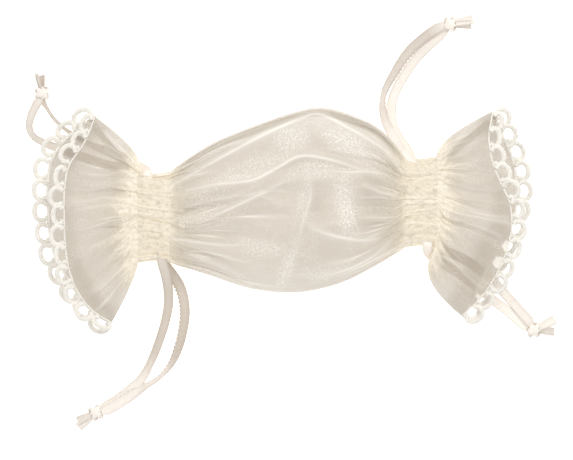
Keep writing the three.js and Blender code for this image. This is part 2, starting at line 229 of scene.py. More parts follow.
organza = {
    "thin": (0.487, 0.434, 0.361, 1), "full": (0.60, 0.54, 0.43, 1), "glint": (1.0, 0.975, 0.93, 1),
    "dim": (0.42, 0.373, 0.31, 1),
    "cover": 0.44, "threadCover": 0.04, "shineCover": 0.3, "gatherCover": 0.55, "toneCover": 0.27,
    "pitch": 0.62, "paintedGlow": 0.42,
}


def makeOrganza(name, cover=organza["cover"]):
    material, tree, shader = newMaterial(name)
    weave = placeThreads(tree, organza["pitch"], organza["pitch"], 0.55)
    tone = attributeValue(tree, "tone")
    crumple = noiseValue(tree, clothCoordinates(tree), 0.5, 3.0)
    patchy = mathNode(tree, "ADD", mathNode(tree, "MULTIPLY", crumple, 1.5), 0.2)
    gather = mathNode(tree, "MULTIPLY", attributeValue(tree, "gather"), patchy, clamp=True)
    # the painted shine comes and goes with the threads, in blotches a few mm wide
    cloud = mathNode(tree, "SUBTRACT", noiseValue(tree, clothCoordinates(tree), 0.16, 4.0), 0.42)
    cloud = mathNode(tree, "MULTIPLY", cloud, 3.0, clamp=True)
    glitter = addNode(tree, "ShaderNodeGroup", node_tree=hatch)
    feed(tree, glitter.inputs["Vector"], clothCoordinates(tree))
    sparkle = glitter.outputs["Mask"]
    shine = mathNode(tree, "MULTIPLY", sparkle, mathNode(tree, "MULTIPLY", cloud, 0.3))
    gloss = mathNode(tree, "ADD", mathNode(tree, "MULTIPLY", sparkle, 0.5), 0.3)
    # painted sheen patches and the painted shine along folds and creases
    shine = mathNode(tree, "ADD", shine, mathNode(tree, "MULTIPLY", attributeValue(tree, "sheen"), gloss))
    shine = mathNode(tree, "MAXIMUM", shine, attributeValue(tree, "fold_shine"), clamp=True)
    # painted shade darkens the colour, also a darker tone on the flares; gathered cloth is fuller; painted
    # shine lightens it to a painted highlight
    colour = mixColour(tree, tone, organza["thin"], organza["dim"])
    colour = mixColour(tree, gather, colour, organza["full"])
    colour = mixColour(tree, shine, colour, organza["glint"])
    feed(tree, shader.inputs["Base Color"], colour)
    for part, key in ((weave.outputs["Mask"], "threadCover"), (shine, "shineCover"),
                      (tone, "toneCover"), (gather, "gatherCover")):
        cover = mathNode(tree, "ADD", mathNode(tree, "MULTIPLY", part, organza[key]), cover)
    feed(tree, shader.inputs["Alpha"], mathNode(tree, "MINIMUM", cover, 1.0))
    roughWeave(tree, shader, weave, 0.55, 0.2)
    passed = mathNode(tree, "ADD", mathNode(tree, "MULTIPLY", gather, 0.6), 0.4)
    paintedGlow = mixColour(tree, passed, (0, 0, 0, 1), colour)
    # painted glow: the cloth gives out a little light of its own, standing in for light passed on through it
    feed(tree, shader.inputs["Emission Color"], paintedGlow)  # light passed on through the thin cloth
    setInputs(shader, {"Emission Strength": organza["paintedGlow"], "Sheen Weight": 0.2, "Sheen Roughness": 0.4})
    addBump(tree, shader, weave, 0.15, 0.06)
    return material


# Ribbon, trim and thread: bright threads on a base colour. rough is the roughness between the
# threads and how much it falls on them; bump is a strength and a height in mm.
# Their emission is a painted glow, and the shade colour a painted shade.
woven = {
    "satin_ribbon": {"base": (0.96, 0.87, 0.78, 1), "bright": (1.0, 0.97, 0.93, 1),
        "shade": (0.60, 0.53, 0.455, 1),
        "threads": (0.55, 0.32, 0.9), "rough": (0.42, 0.14), "paintedGlow": 0.12, "sheen": 0.2,
        "bump": (0.5, 0.15)},
    "picot_trim": {"base": (0.97, 0.91, 0.82, 1), "bright": (1.0, 0.985, 0.94, 1),
        "threads": (0.75, 0.6, 0.5), "rough": (0.7, 0.15), "paintedGlow": 0.03, "sheen": 0.3, "bump": (0.6, 0.2)},
    "thread": {"base": (0.93, 0.88, 0.77, 1), "bright": (1.0, 0.97, 0.89, 1),
        "threads": (0.3, 0.3, 0.3), "rough": (0.5, 0), "paintedGlow": 0, "sheen": 0, "bump": (0.4, 0.05)},
}


def makeWoven(name):
    look = woven[name]
    material, tree, shader = newMaterial(name)
    weave = placeThreads(tree, *look["threads"])
    colour = mixColour(tree, weave.outputs["Mask"], look["base"], look["bright"])
    if "shade" in look:
        colour = mixColour(tree, attributeValue(tree, "shade"), colour, look["shade"])
    for key in ("Base Color", "Emission Color"):
        feed(tree, shader.inputs[key], colour)
    setInputs(shader, {"Emission Strength": look["paintedGlow"], "Sheen Weight": look["sheen"]})
    roughWeave(tree, shader, weave, *look["rough"])
    addBump(tree, shader, weave, *look["bump"])
    return material


sheer = makeOrganza("organza")
gatheredOrganza = makeOrganza("gathered_organza", 0.18)
satinFinish, picotFinish, threadFinish = (makeWoven(name) for name in woven)
print("materials made")


def placeMesh(name, form, material):
    mesh = bpy.data.meshes.new(name)
    form.to_mesh(mesh)
    form.free()
    mesh.materials.append(material)
    piece = bpy.data.objects.new(name, mesh)
    scene.collection.objects.link(piece)
    return piece


form = bmesh.new()
bmesh.ops.create_grid(form, x_segments=2, y_segments=2, size=3.0)
paper, tree, shader = newMaterial("floor_paper")
setInputs(shader, {"Base Color": (0.95, 0.945, 0.935, 1), "Roughness": 0.9,
                   "Emission Color": (1.0, 0.99, 0.98, 1), "Emission Strength": 0.55})
placeMesh("floor", form, paper)


# Curves and cloth rows
# A smooth line through the points, at even spacing
def throughPoints(points, steps):
    p = np.array(points, float)
    p = np.vstack([2 * p[0] - p[1], p, 2 * p[-1] - p[-2]])
    line = []
    for i in range(1, len(p) - 2):
        a, b, c, d = p[i - 1:i + 3]
        before, here, after = (max(np.linalg.norm(gap) ** 0.5, 1e-6) for gap in (b - a, c - b, d - c))
        m1 = c - b + here * ((b - a) / before - (c - a) / (before + here))
        m2 = c - b + here * ((d - c) / after - (d - b) / (here + after))
        t = np.linspace(0, 1, 24, endpoint=False)[:, None]
        line.append((2 * t**3 - 3 * t**2 + 1) * b + (t**3 - 2 * t**2 + t) * m1
                    + (3 * t**2 - 2 * t**3) * c + (t**3 - t**2) * m2)
    return evenly(np.vstack(line + [p[-2][None]]), steps)


def lengthsAlong(line):
    return np.concatenate([[0], np.cumsum(np.linalg.norm(np.diff(line, axis=0), axis=1))])


# The places at the lengths in at, where along holds the length at each point of the line
def placesAt(line, along, at):
    return np.stack([np.interp(at, along, part) for part in line.T], axis=-1)


def evenly(line, steps):
    along = lengthsAlong(line)
    return placesAt(line, along, np.linspace(0, along[-1], steps + 1))


def ease(t):
    t = np.clip(t, 0, 1)
    return t * t * (3 - 2 * t)


# A row of cloth, wider than the line it has to fill, laid in folds along that line
def gatherRow(base, cloth, weights, phases, columns):
    share = np.linspace(0, 1, columns + 1)
    line = evenly(base, columns)
    room = lengthsAlong(line)[-1]
    bend = np.zeros(columns + 1)
    for count, weight, phase in zip(foldCounts, weights, phases):
        wander = share + 0.016 * np.sin(2 * math.pi * (2.3 * share + phase))
        bend += weight * np.sin(2 * math.pi * (count * wander + phase))
    bend *= ease(share / 0.035) * ease((1 - share) / 0.035)
    bend /= max(np.sqrt(np.mean(bend**2)), 1e-6)
    ratio = min(room / cloth, 0.9995)
    low, high = 0.0, 2.4
    for _ in range(24):
        middle = (low + high) / 2
        low, high = (middle, high) if np.mean(np.cos(middle * bend)) > ratio else (low, middle)
    angle = low * bend
    forward, upward = (np.concatenate([[0], np.cumsum((part[1:] + part[:-1]) / 2)])
                       for part in (np.cos(angle), np.sin(angle)))
    upward = (upward - share * upward[-1]) * cloth / columns
    forward = forward / forward[-1]
    return placesAt(line, share, forward), upward, np.abs(np.sin(angle)) ** 5


foldCounts = (34, 23, 14, 9, 5, 3)


# One object from layers of cloth, each a grid of rows with its flat map and attributes
def makeSheet(name, layers, material):
    form = bmesh.new()
    for layer in layers:
        rows, columns = layer["spots"].shape[:2]
        made = bmesh.ops.create_grid(form, x_segments=columns - 1, y_segments=rows - 1, size=1.0)
        # a new grid runs its first axis fastest
        for vertex, spot in zip(made["verts"], layer["spots"].reshape(-1, 3)):
            vertex.co = spot
    form.verts.index_update()
    sheet = placeMesh(name, form, material)
    mesh = sheet.data
    flat = np.concatenate([layer["flat"].reshape(-1, 2) for layer in layers])
    corners = np.empty(len(mesh.loops), np.int32)
    mesh.loops.foreach_get("vertex_index", corners)
    uv = mesh.uv_layers.new(name="cloth")
    uv.data.foreach_set("uv", flat[corners].astype(np.float32).ravel())
    for key in ("fold_shine", "gather", "tone", "sheen"):
        values = np.concatenate([layer[key].ravel() for layer in layers])
        attribute = mesh.attributes.new(key, "FLOAT", "POINT")
        attribute.data.foreach_set("value", values.astype(np.float32))
    mesh.polygons.foreach_set("use_smooth", [True] * len(mesh.polygons))
    return sheet


def layerOf(spots, u, v, fold_shine, gather, sheen=0, tone=0):
    values = {"fold_shine": fold_shine, "gather": gather, "sheen": sheen, "tone": tone}
    layer = {key: np.broadcast_to(value, u.shape) for key, value in values.items()}
    return layer | {"spots": np.array(spots), "flat": np.stack([u, v], axis=2)}


# Places taken from the frame
def neckFrom(side):
    low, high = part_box(f"{side}_casing_strip")
    grow = 2.5 * mm  # outer fabric and channel round the strip
    middle = {axis: (a + b) / 2 for axis, a, b in zip("xyz", low, high)}
    return middle | {"half": (high[1] - low[1]) / 2 + grow, "rise": (high[2] - low[2]) / 2 + grow,
                     "casing": high[0] - low[0], "out": -1 if side == "left" else 1}


necks = {side: neckFrom(side) for side in ("left", "right")}
neckZ, neckHalf, neckRise, casing = (necks["left"][key] for key in ("z", "half", "rise", "casing"))
bellyLow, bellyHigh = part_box("chamber_front")
bellyTop = bellyHigh[2]
bellyHalf = (bellyHigh[1] - bellyLow[1]) / 2
bodyStart = necks["left"]["x"] + casing / 2
bodyEnd = necks["right"]["x"] - casing / 2

belly = {
    "stations": (0, 0.17, 0.34, 0.51, 0.63, 0.75, 0.88, 1),
    "full": (0, 0.43, 0.765, 0.97, 1, 0.84, 0.51, 0),
    "sway": (0, 1.5, 1.35, 2.15, 3.1, 3.0, 2.65, 0),
    "middle": 0.012, "drop": 0.0135, "cloth": 0.080, "waist": 0.05, "overlap": 0.0006,
    "rows": 190, "columns": 220,
}


def bodyShape(x):
    s = min(max((x - bodyStart) / (bodyEnd - bodyStart), 0), 1)
    line = np.stack([belly["stations"], belly["full"], belly["sway"]], axis=1)
    fine = throughPoints(line * (1, 0.2, 0.01), 200) / (1, 0.2, 0.01)
    full = max(np.interp(s, fine[:, 0], fine[:, 1]), 0)
    sway = np.interp(s, fine[:, 0], fine[:, 2]) * mm
    gaps = [(x - neck["x"]) / (4.5 * mm) for neck in necks.values()]
    waist = 1 - belly["waist"] * sum(math.exp(-(gap**2)) for gap in gaps)
    return {
        "full": full,
        "y": necks["left"]["y"] * (1 - s) + necks["right"]["y"] * s + sway,
        "z": neckZ + (belly["middle"] - neckZ) * full,
        "half": (neckHalf + (bellyHalf - neckHalf) * full) * waist,
        "rise": (neckRise + (bellyTop - belly["middle"] - neckRise) * full) * (0.4 + 0.6 * waist),
        "drop": neckRise + (belly["drop"] - neckRise) * full,
    }


print("frame read", round(neckHalf, 4), round(bellyTop, 4))


# Half a section from its -Y edge to its +Y edge: flat with soft ends, or round
def sectionLine(half, rise, roundness, inset, count=80):
    t = np.linspace(-1, 1, count)
    flatZ = (1 - np.abs(t) ** 5) ** 0.4
    y = (half - inset) * ((1 - roundness) * t + roundness * np.sin(t * math.pi / 2))
    z = (rise - inset) * ((1 - roundness) * flatZ + roundness * np.cos(t * math.pi / 2))
    return y, z


# Soft ovals of painted light and of painted shade on the belly's front: middle, half sizes, turn and
# strength
bellyPaintedSheen = (
    (-12, 16, 17, 3.2, 22, 0.5), (-24, 3, 8, 5, 20, 0.35), (3, 27, 6, 4.2, 20, 0.75),
    (21, 25.5, 11, 3.4, -30, 0.8), (21, 5, 3.2, 8, 8, 0.95), (12, 16.5, 10, 3.0, 5, 0.6),
    (8, 10, 2.2, 9, -8, 0.6), (-6, -9, 10, 2.2, -10, 0.55), (2, -15, 2.4, 8, -22, 0.6),
    (-28, 0, 7, 1.6, 20, 0.45), (29, 17, 5, 1.6, -20, 0.6), (14, -17, 8, 2.0, 8, 0.35),
)
bellyPaintedShade = (
    (25, 32, 12, 2.6, -28, 0.5), (-22, 8, 12, 2.4, 18, 0.5), (31, 8, 5, 7, 10, 0.7),
    (12, 3, 3, 8, 10, 0.5), (-10, 3, 12, 3.5, 14, 0.4), (14, 26, 3, 3, 0, 0.4),
    (28, -1, 7, 2.2, -14, 0.6), (10, -12, 12, 6, 0, 0.35),
)


def ovals(places, spots):
    value = np.zeros(len(spots))
    for x, y, wide, tall, turn, strength in places:
        angle = math.radians(turn)
        across = spots[:, 0] / mm - x
        down = spots[:, 1] / mm - y
        a = (across * math.cos(angle) + down * math.sin(angle)) / (1.15 * wide)
        b = (down * math.cos(angle) - across * math.sin(angle)) / (1.2 * tall)
        value = np.maximum(value, strength * np.exp(-((a * a + b * b) ** 1.3)))
    return value


# Creases of the belly's front: the points along each crest, then its height, width, painted shine and
# painted shadow. A shadow below 0 lies on the other side of the crest.
creases = (
    (((-39, 10), (-23.8, 18.7), (-8.9, 26.8), (6, 33.6), (12, 35), (23, 29.8), (29, 26.3),
      (34, 23), (39, 17), (41, 13.3)), 1.6, 1.2, 0.85, 0.45),
    (((-34, 9.3), (-22, 11.7), (-9.4, 13.3), (-2, 17), (6, 21), (15, 20), (26, 16.7),
      (35, 14.5)), 2.4, 1.7, 0.8, -0.55),
    (((-30, -2.5), (-19.4, 2.7), (-3.4, 10.3), (3, 14)), 1.8, 1.3, 0.65, -0.4),
    (((-38, -5.9), (-28, -7.4), (-19, -8.3), (-10, -8.2)), 1.4, 1.2, 0.55, 0.35),
    (((8, -2.2), (15, -4.7), (26, -6.7), (33, -6)), 1.8, 1.3, 0.75, 0.5),
    (((7, 22), (8.4, 15), (9.4, 8), (7, 0), (5, -8)), 1.5, 1.4, 0.5, 0.4),
    (((20, 15), (21.4, 8), (24, -1), (26, -6)), 1.4, 1.1, 0.55, 0.6),
    (((6, -7.7), (2.6, -14), (-1, -21.7)), 1.4, 1.3, 0.45, 0.3),
    (((-34, 4), (-20, 7), (-8, 8), (2, 4)), 1.0, 1.1, 0.4, 0.25),
    (((26, 12), (33, 9), (39, 8)), 1.2, 0.9, 0.5, 0.6),
    (((-36, -9), (-24, -14), (-12, -19)), 0.8, 1.0, 0.35, 0.2),
    (((39, -4), (30, -12), (20, -18)), 0.8, 1.0, 0.35, -0.25),
)


# Soft top of a crease, its crisp and wide lines of painted light, and its painted shadow's reach and start
creaseLook = {"soft": 0.7 * mm, "crisp": 0.42 * mm, "wide": 1.5 * mm, "shadow": 3.2 * mm, "gap": 0.8 * mm}


# Distance from each spot to a line in plan, and how far along the line it is, 0 to 1
def distanceTo(line, spots, steps=60):
    p = evenly(throughPoints(np.array(line, float) * mm, steps), steps)
    nearest = np.linalg.norm(spots[:, None, :2] - p[None, :, :], axis=2).argmin(axis=1)
    run = np.gradient(p, axis=0)[nearest]
    run /= np.linalg.norm(run, axis=1)[:, None]
    off = spots[:, :2] - p[nearest]
    side = run[:, 0] * off[:, 1] - run[:, 1] * off[:, 0]
    past = (nearest == 0) | (nearest == steps)
    away = np.where(past, np.linalg.norm(off, axis=1), np.abs(side))
    return away, nearest / steps, np.sign(side)


# How folds slant, in turns per mm
bodyDrift = np.array([0.0, 0.0, 0.004, 0.007, 0.010, 0.009])


def foldPhases(front):
    return np.random.RandomState(5 if front else 9).rand(len(foldCounts))


# An uneven factor round 1 across a row
def wanderAcross(columns, amount, seed, marks=26):
    turns = np.random.RandomState(seed).rand(marks) * 2 - 1
    return 1 + amount * np.interp(np.linspace(0, 1, columns + 1), np.linspace(0, 1, marks), turns)


# Small puckers where the cloth is drawn in
def pucker(x, row, near):
    y = row[:, 1] / mm
    u = x / mm
    crossed = np.sin(1.9 * u + 2.2 * np.sin(0.8 * y)) * np.sin(2.3 * y + 1.7 * np.sin(1.1 * u))
    ridge = np.exp(-((np.abs(u - necks["left"]["x"] / mm) - 3.1 - 0.6 * np.sin(0.45 * y)) / 0.9) ** 2)
    return (0.28 * crossed + 0.3 * ridge) * mm * math.exp(-((near / 4) ** 2))


# What the frame is told of a piece: its body and the nodes it stands for, which are hidden. Its slot is not
# used.
def readyPiece(piece, body, slot, *nodes):
    if body:
        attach(piece, body)
    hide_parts(*nodes)


# Fold heights, held in near a neck
def heldIn(height, x, row, near):
    height = np.clip(height, -(0.35 + 2 * ease(near / 9)) * mm, (1.1 + 1.3 * ease(near / 9)) * mm)
    return height * (0.6 + 0.4 * ease((near - 3) / 18)) + pucker(x, row, near)


def bellyLayer(front):
    rows, columns = belly["rows"], belly["columns"]
    start = necks["left"]["x"] - casing / 2 - belly["overlap"]
    end = necks["right"]["x"] + casing / 2 + belly["overlap"]
    phases = foldPhases(front)
    spots, gather, crests, along = [], [], [], np.linspace(start, end, rows + 1)
    wander = wanderAcross(columns, 0.45, 8 if front else 3)
    for x in along:
        body = bodyShape(x)
        near = min(max(x - bodyStart, 0), max(bodyEnd - x, 0)) / mm
        roundness = min(1, body["full"] * 2.5)
        rise = body["rise"] if front else body["drop"]
        fade = (math.exp(-near / 4), math.exp(-near / 8), math.exp(-near / 15),
                0.7 * math.exp(-near / 30), 0.35 + 0.3 * near / (near + 15), 0.5 * near / (near + 15))
        y, z = sectionLine(body["half"], rise, roundness, 0.3 * mm)
        base = np.stack([np.full(len(y), x), body["y"] + y, body["z"] + (z if front else -z)], axis=1)
        drift = bodyDrift * (x / mm)
        row, height, steep = gatherRow(base, belly["cloth"], fade, phases + drift, columns)
        row[:, 2] += (1 if front else -1) * heldIn(height, x, row, near)
        spots.append(row)
        # steep pleat walls, where the cloth stands edge-on: denser cloth and a painted highlight
        crests.append(steep * (0.25 + 0.45 * ease(near / 12)))
        gather.append(np.exp(-((near / (4.4 * wander)) ** 1.2)))
    spots, fold_shine = np.array(spots), np.array(crests)
    sheen = tone = 0 * fold_shine
    if front:
        flatSpots = spots.reshape(-1, 3)
        for points, tall, wide, shine, dark in creases:
            away, share, left = distanceTo(points, flatSpots)
            soft = np.sqrt(away**2 + creaseLook["soft"] ** 2) - creaseLook["soft"]
            crest = np.exp(-soft / (wide * mm)) * np.sin(math.pi * np.clip(share, 0.02, 0.98)) ** 0.5
            flatSpots[:, 2] += crest * tall * mm
            ends = np.sin(math.pi * share) ** 0.5
            # painted highlight along the crest
            line = 0.6 * np.exp(-((away / creaseLook["crisp"]) ** 2))
            line += 0.28 * np.exp(-((away / creaseLook["wide"]) ** 2))
            fold_shine = np.maximum(fold_shine, (shine * line * ends).reshape(fold_shine.shape))
            # painted shadow on one side of the crest
            shadow = np.clip(left * dark, 0, 1) * np.exp(-away / creaseLook["shadow"])
            shadow *= ease(away / creaseLook["gap"])
            tone = np.maximum(tone, (shadow * ends).reshape(fold_shine.shape))
        # painted sheen and painted shade from the ovals
        sheen = ovals(bellyPaintedSheen, flatSpots).reshape(fold_shine.shape)
        tone = np.maximum(tone, ovals(bellyPaintedShade, flatSpots).reshape(fold_shine.shape))
    spots[:, :, 2] = np.clip(spots[:, :, 2], 0.3 * mm, bellyTop + 1.5 * mm)
    across = np.linspace(0, belly["cloth"], columns + 1)
    u, v = np.meshgrid(along, across if front else 2 * belly["cloth"] - across, indexing="ij")
    return layerOf(spots, u, v, fold_shine, gather, sheen, tone)


bellyLayers = [bellyLayer(True), bellyLayer(False)]
bellySheet = makeSheet("belly", bellyLayers, sheer)
readyPiece(bellySheet, "pouch", "organza", "chamber_front", "chamber_back")
print("belly made")


# The level and the upward direction across a line, at each of its points
def acrossLine(line, closed=False):
    run = np.roll(line, -1, axis=0) - np.roll(line, 1, axis=0) if closed else np.gradient(line, axis=0)
    run /= np.linalg.norm(run, axis=1)[:, None]
    level = np.cross(run, (0, 0, 1.0))
    level /= np.maximum(np.linalg.norm(level, axis=1), 1e-9)[:, None]
    return level, np.cross(level, run)


# Cords and threads: a section carried along a line. width and height are its half sizes, as
# single values or one for each point of the line.
def carryAlong(form, line, width, height, sides=8, closed=False):
    count = len(line)
    level, lift = acrossLine(line, closed)
    width = np.broadcast_to(width, count)
    height = np.broadcast_to(height, count)
    turns = (np.arange(sides) + 0.5) * 2 * math.pi / sides
    rings = []
    for i in range(count):
        spots = line[i] + (np.cos(turns)[:, None] * level[i] * width[i]
                           + np.sin(turns)[:, None] * lift[i] * height[i])
        rings.append([form.verts.new(spot) for spot in spots])
    pairs = list(zip(rings, rings[1:]))
    if closed:
        pairs.append((rings[-1], rings[0]))
    for one, two in pairs:
        for k in range(sides):
            n = (k + 1) % sides
            form.faces.new((one[k], one[n], two[n], two[k]))
    if not closed:
        form.faces.new(rings[0][::-1])
        form.faces.new(rings[-1])
    return rings


def finishForm(name, form, material, flatOf=None, shadeOf=None):
    bmesh.ops.recalc_face_normals(form, faces=form.faces)
    form.verts.index_update()
    dark = form.verts.layers.float.new("shade")
    for vertex in form.verts:
        vertex[dark] = shadeOf[vertex.index] if shadeOf else 0.0
    layer = form.loops.layers.uv.new("cloth")
    for face in form.faces:
        face.smooth = True
        for corner in face.loops:
            spot = corner.vert.co
            corner[layer].uv = flatOf[corner.vert.index] if flatOf else (spot.x + spot.z, spot.y + spot.z)
    return placeMesh(name, form, material)


# In mm along a lane from the middle of its neck: inside is a tail's run in the casing, exit is
# where it leaves, bendAt where the channel part turns back and bend how far that turn reaches.
ribbon = {
    "width": 3.2 * mm, "thick": 0.3 * mm, "toothPitch": 1.45 * mm, "step": 0.36 * mm, "across": 8,
    "inside": (-7.5, -1, 5.5, 12), "exit": 13.2, "bendAt": 7.8, "bend": 3.2, "rest": 0.4, "tooth": 0.1,
}


# A satin ribbon along a line: roll turns it about the line, bow cups it across
def makeRibbon(name, line, width, roll=0.0, bow=0.0, shade=0.3, tooth=ribbon["tooth"]):
    form = bmesh.new()
    count = len(line)
    level, lift = acrossLine(line)
    along = lengthsAlong(line)
    roll = np.broadcast_to(roll, count)
    half = np.broadcast_to(width, count) / 2
    wide = ribbon["across"] + 1
    made = bmesh.ops.create_grid(form, x_segments=wide - 1, y_segments=count - 1, size=1.0)
    flatOf = []
    shade = np.broadcast_to(shade, count)
    shadeOf = []
    for number, vertex in enumerate(made["verts"]):
        i, k = divmod(number, wide)
        across = 2 * k / (wide - 1) - 1
        reach = across * half[i]
        if k in (0, wide - 1):
            bump = 0.5 + 0.5 * math.cos(2 * math.pi * along[i] / ribbon["toothPitch"])
            toothed = (k == 0) == (tooth > 0)
            reach += math.copysign(abs(tooth) * mm * bump * (1 if toothed else 0.2), across)
        rise = bow * half[i] * (across * across - 0.4)
        side = level[i] * math.cos(roll[i]) + lift[i] * math.sin(roll[i])
        up = lift[i] * math.cos(roll[i]) - level[i] * math.sin(roll[i])
        vertex.co = line[i] + side * reach + up * rise
        vertex.co.z = max(vertex.co.z, 0.2 * mm)
        flatOf.append((along[i], (across + 1) / 2 * ribbon["width"]))
        shadeOf.append(min(shade[i] + 0.3 * abs(across) ** 3, 1.0))
    piece = finishForm(name, form, satinFinish, flatOf, shadeOf)
    thick = piece.modifiers.new("thick", "SOLIDIFY")
    thick.thickness = ribbon["thick"]
    thick.offset = 0.0
    return piece


# Drawstrings. Points are in mm from the middle of the ribbon's lane, and those with two values
# lie on the table; roll is in degrees at shares of the length.
drawstrings = {
    "left_lower": {
        "side": "left", "exit": -1, "knot": (-22.2, -65.5, 1.9), "heading": -2.6, "ends": 5.2,
        "underTooth": -0.5, "splay": 0.45, "endTurn": 0.1,
        "over": ((0.2, -15, 10.3), (1, -18.2, 8.4), (1.7, -21.6, 5.4), (2.1, -25.4, 2.6), (2, -29.6, 1),
            (1.1, -34.4, 0.45), (-0.9, -41), (-3.4, -47.4), (-7, -54.1), (-11.6, -58.4),
            (-16.2, -61.8, 0.6), (-19.7, -63.8, 1.1)),
        "under": ((0.9, -15.6, 2.5), (3.4, -19.2, 1.9), (5.8, -23, 1), (7.2, -27.4, 0.45), (7.7, -32),
            (7.1, -37.6), (5.6, -43.6), (3, -49.4), (-1, -53.8, 0.6), (-5.6, -56.8, 1.25),
            (-10.4, -59.8, 1.35), (-15.3, -62.9, 1.75), (-19.3, -64.9, 2.3)),
        "overRoll": ((0, 0), (0.35, 15), (0.6, 34), (0.72, 42), (0.82, 12), (1, 0)),
        "underRoll": ((0, 0), (0.35, -12), (0.6, -38), (0.71, -70), (0.78, -62), (0.86, -12), (1, 0)),
        "overShade": ((0, 0.55), (0.5, 0.85), (0.66, 0.8), (0.78, 0.15), (1, 0.1)),
        "underShade": ((0, 0.55), (0.35, 0.8), (0.62, 1.0), (0.7, 0.5), (0.8, 0.3), (0.9, 0.15),
            (1, 0.1)),
    },
    "left_upper": {
        "side": "left", "exit": 1, "knot": (-35.6, 41.5, 1.9), "heading": 1.75, "ends": 4.4,
        "splay": 0.3, "endTurn": 0.85,
        "over": ((0, 14.3, 10.3), (-0.5, 15.4, 7.8), (-2.2, 16.4, 4.6), (-4.9, 17.8, 2),
            (-8.4, 19.6, 0.7), (-12.6, 21.8, 0.42), (-17.2, 23.4), (-21.6, 25.4), (-25.4, 27.8),
            (-28.8, 30.3), (-32.1, 33.6, 0.45), (-34.4, 37.3, 0.9), (-35.1, 38.6, 1.1)),
        "under": ((-0.3, 14, 2.4), (-2, 15.4, 1.4), (-5, 15.9, 0.5), (-9.2, 16.4), (-14, 17.5),
            (-18.8, 19), (-23.8, 20.8), (-29.2, 22.8), (-34.6, 24.8), (-38.5, 27.1), (-39.9, 30.2, 0.5),
            (-39.2, 34, 0.9), (-37.5, 37.6, 1.9), (-36.7, 38.7, 2.2)),
        "overRoll": ((0, 0), (0.5, 0), (0.66, 60), (0.8, 74), (0.93, 72), (1, 40)),
        "underRoll": ((0, 0), (0.5, 0), (0.7, 40), (0.8, 52), (0.92, 34), (1, 10)),
        "overShade": ((0, 0.3), (0.4, 0.0), (0.66, 0.1), (0.78, 0.95), (1, 0.7)),
        "underShade": ((0, 0.3), (0.4, 0.0), (0.66, 0.1), (0.78, 0.6), (1, 0.35)),
    },
    "right_upper": {
        "side": "right", "exit": 1, "knot": (12.4, 59.5, 1.9), "heading": 0.1, "ends": 5.6,
        "splay": 0.4, "overTooth": -0.35,
        "over": ((-2.2, 15, 10.6), (-4.4, 17.8, 9.2), (-6.2, 21, 6.5), (-7.7, 24.2, 3.6), (-9, 27, 1.9),
            (-9.9, 30.4, 1.2), (-10, 34.8, 1.2), (-8.7, 38.7, 1.2), (-6.5, 42.6, 1.2), (-4, 46.8, 1.2),
            (-0.8, 51, 1.2), (3.1, 54.6, 1.25), (6.9, 57.4, 1.6), (9.5, 58.9, 2.2)),
        "under": ((-0.5, 14.8, 2.3), (-2, 17.8, 1.3), (-4.1, 20.8, 0.6), (-6, 24.2, 0.42), (-6.9, 28.4),
            (-6.9, 33.2), (-5.6, 37.4), (-3.3, 41.6), (-0.8, 45.4), (2.1, 49.2), (5.8, 52.8),
            (8.9, 55.6, 0.6), (10.4, 57.2, 1.1)),
        "overRoll": ((0, 0), (0.4, 12), (0.58, 62), (0.68, 40), (0.8, 20), (1, 0)),
        "underRoll": ((0, 0), (0.4, 0), (0.6, -12), (0.8, -20), (1, 0)),
        "overShade": ((0, 0.05), (0.4, 0.0), (0.52, 0.3), (0.64, 0.75), (0.9, 0.85), (1, 0.1)),
        "underShade": ((0, 0.15), (0.2, 0.0), (0.6, 0.0), (0.75, 0.15), (0.85, 0.3), (1, 0.1)),
    },
    "right_lower": {
        "side": "right", "exit": -1, "knot": (35.9, -42.8, 1.9), "heading": 0.15, "ends": 5.4,
        "over": ((0, -14.6, 10.3), (0.3, -16.4, 7.8), (1.6, -18, 4.6), (3.9, -19.6, 2),
            (6.9, -21.4, 0.7), (10.7, -23.8, 0.42), (14.7, -26.6), (18.5, -29.6), (22.3, -32.8),
            (26.3, -35.8), (30.3, -39.2, 0.5), (33.3, -41.6, 1)),
        "under": ((0.3, -13.4, 2.3), (2.1, -14.9, 1.2), (5.3, -16, 0.5), (9.5, -17.6), (13.7, -19.8),
            (17.9, -22.8), (21.9, -26.2), (25.7, -30, 0.5), (29.3, -34, 1), (32.1, -37.2, 1.4),
            (34.5, -40, 2.1)),
        "overRoll": ((0, 0), (0.6, 0), (0.8, 12), (1, 0)),
        "underRoll": ((0, 0), (0.6, 0), (0.8, -18), (1, 0)),
        "overShade": ((0, 0.3), (0.3, 0.0), (1, 0.0)),
        "underShade": ((0, 0.3), (0.3, 0.0), (0.8, 0.1), (1, 0.3)),
    },
}


def laneOf(name):
    low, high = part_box(f"{name}_channel_loop")
    return (low[0] + high[0]) / 2, (low[2] + high[2]) / 2, (high[2] - low[2]) / 2 - 0.25 * mm


def turnedBy(angle):
    c, s = math.cos(angle), math.sin(angle)
    return np.array([[c, -s, 0], [s, c, 0], [0, 0, 1]])


